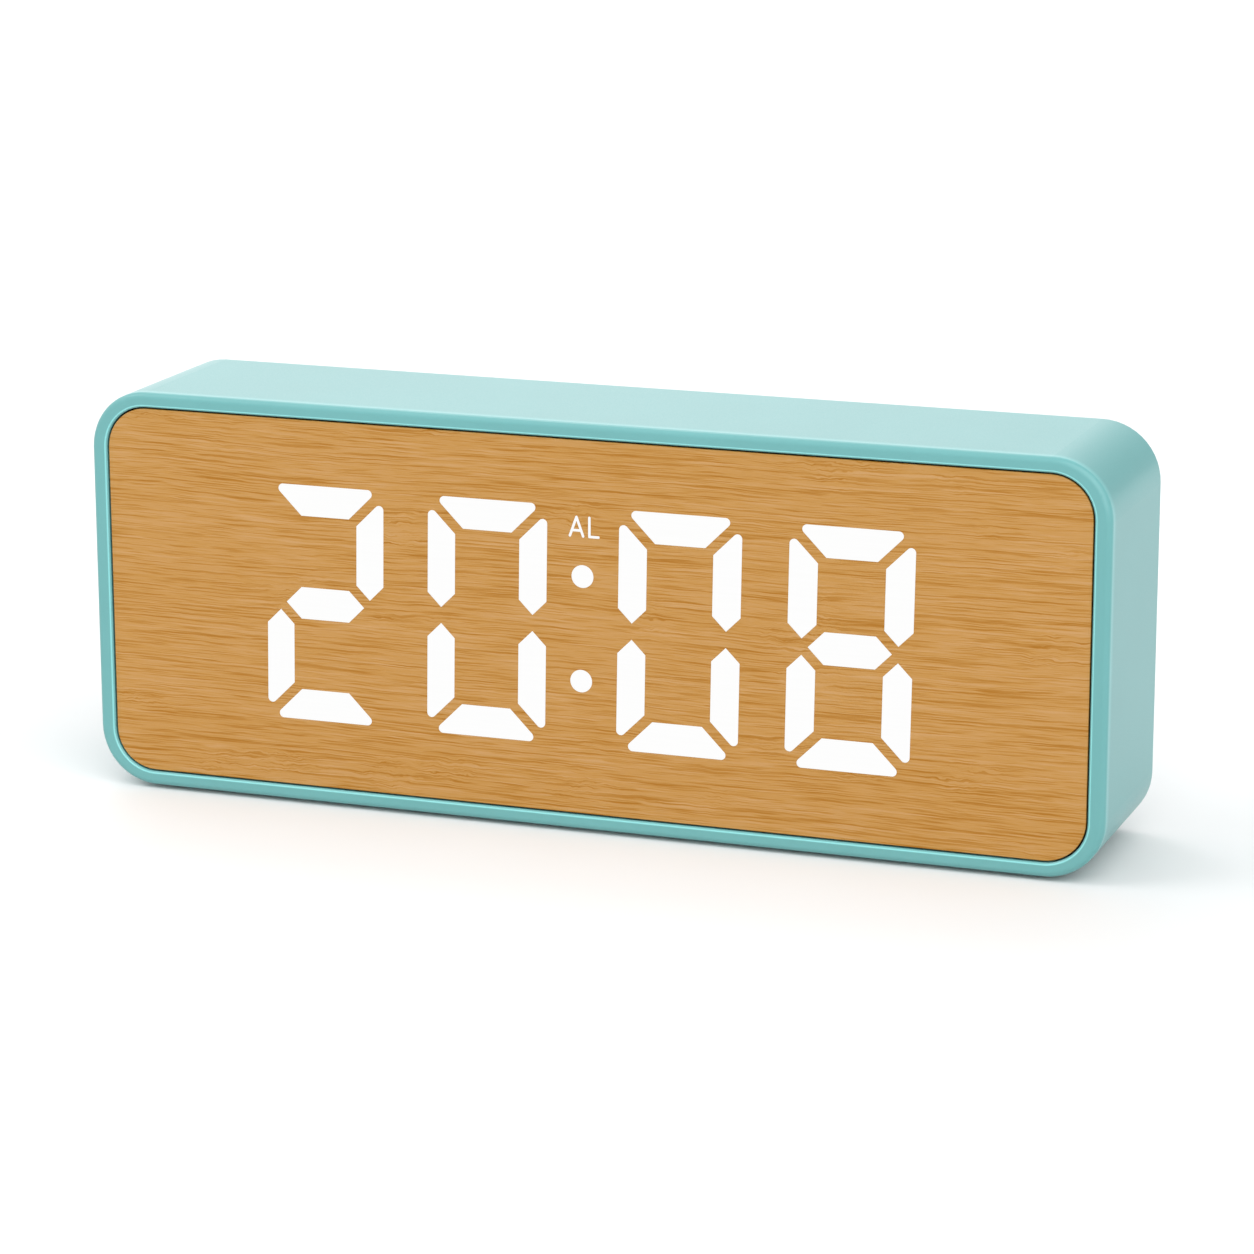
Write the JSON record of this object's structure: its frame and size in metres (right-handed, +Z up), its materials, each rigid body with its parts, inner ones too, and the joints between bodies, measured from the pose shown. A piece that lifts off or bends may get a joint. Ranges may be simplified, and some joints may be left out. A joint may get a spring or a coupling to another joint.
{
  "type": "alarm clock",
  "caption": "Digital alarm clock with a rounded plastic case and a wood veneer front that its lit digits shine through.",
  "frame": {"origin": "centre of the footprint, on the surface that the rubber feet stand on", "axes": "+X to the right seen from the front, +Y to the back, +Z up"},
  "size_m": [0.16, 0.03, 0.0626],
  "materials": {
    "case_plastic": "satin",
    "key_plastic": "satin",
    "wood_veneer": "satin",
    "smoked_acrylic": "polished",
    "black_tape": "matt",
    "frosted_film": "frosted",
    "white_plastic": "satin",
    "circuit_board": "solder mask",
    "led_package": "gloss",
    "lit_white": "lit",
    "black_plastic": "matt",
    "steel": "bright",
    "nickel": "plated",
    "brass": "bright",
    "cell_wrap": "gloss sleeve",
    "red_wire": "satin",
    "black_wire": "satin",
    "ribbon": "satin",
    "foot_rubber": "matt"
  },
  "bodies": {
    "clock": {"case_shell": "case_plastic", "rear_cover": "case_plastic", "wood_veneer": "wood_veneer", "front_lens": "smoked_acrylic", "panel_tape": "black_tape", "diffuser_sheet": "frosted_film", "digit_reflector": "white_plastic", "display_ribbon_socket": "white_plastic", "control_ribbon_socket": "white_plastic", "display_board": "circuit_board", "control_board": "circuit_board", "led_chips": "led_package", "lit_hour_tens": "lit_white", "lit_hour_units": "lit_white", "lit_minute_tens": "lit_white", "lit_minute_units": "lit_white", "lit_colon": "lit_white", "lit_alarm_mark": "lit_white", "driver_chip": "black_plastic", "clock_chip": "black_plastic", "push_switch_bodies": "black_plastic", "usb_socket_tongue": "black_plastic", "buzzer_can": "black_plastic", "rear_cover_screws": "steel", "display_board_screws": "steel", "control_board_screws": "steel", "usb_socket_shell": "steel", "alarm_switch_can": "steel", "quartz_crystal": "steel", "battery_springs": "nickel", "contact_plates": "nickel", "buzzer_disc": "brass", "aaa_cell_upper": "cell_wrap", "aaa_cell_middle": "cell_wrap", "aaa_cell_lower": "cell_wrap", "battery_lead_positive": "red_wire", "battery_lead_negative": "black_wire", "ribbon_cable": "ribbon", "foot_front_left": "foot_rubber", "foot_front_right": "foot_rubber", "foot_rear_left": "foot_rubber", "foot_rear_right": "foot_rubber"},
    "battery_door": {"battery_door": "case_plastic"},
    "alarm_slide": {"alarm_slider": "key_plastic", "alarm_switch_lever": "black_plastic"},
    "set_key": {"set_button": "key_plastic", "set_plunger": "black_plastic"},
    "up_key": {"up_button": "key_plastic", "up_plunger": "black_plastic"},
    "down_key": {"down_button": "key_plastic", "down_plunger": "black_plastic"},
    "alarm_key": {"alarm_button": "key_plastic", "alarm_plunger": "black_plastic"}
  },
  "joints": [
    {"name": "battery_door_hinge", "type": "hinge", "parent": "clock", "child": "battery_door", "pos_m": [-0.032, 0.0147, 0.0133], "axis": [-1, 0, 0], "range_deg": [0, 60]},
    {"name": "alarm_slide_travel", "type": "slide", "parent": "clock", "child": "alarm_slide", "axis": [1, 0, 0], "range_m": [0, 0.002]},
    {"name": "set_key_press", "type": "slide", "parent": "clock", "child": "set_key", "axis": [0, -1, 0], "range_m": [0, 0.0004], "stiffness_N_per_m": 300},
    {"name": "up_key_press", "type": "slide", "parent": "clock", "child": "up_key", "axis": [0, -1, 0], "range_m": [0, 0.0004], "stiffness_N_per_m": 300},
    {"name": "down_key_press", "type": "slide", "parent": "clock", "child": "down_key", "axis": [0, -1, 0], "range_m": [0, 0.0004], "stiffness_N_per_m": 300},
    {"name": "alarm_key_press", "type": "slide", "parent": "clock", "child": "alarm_key", "axis": [0, -1, 0], "range_m": [0, 0.0004], "stiffness_N_per_m": 300}
  ]
}
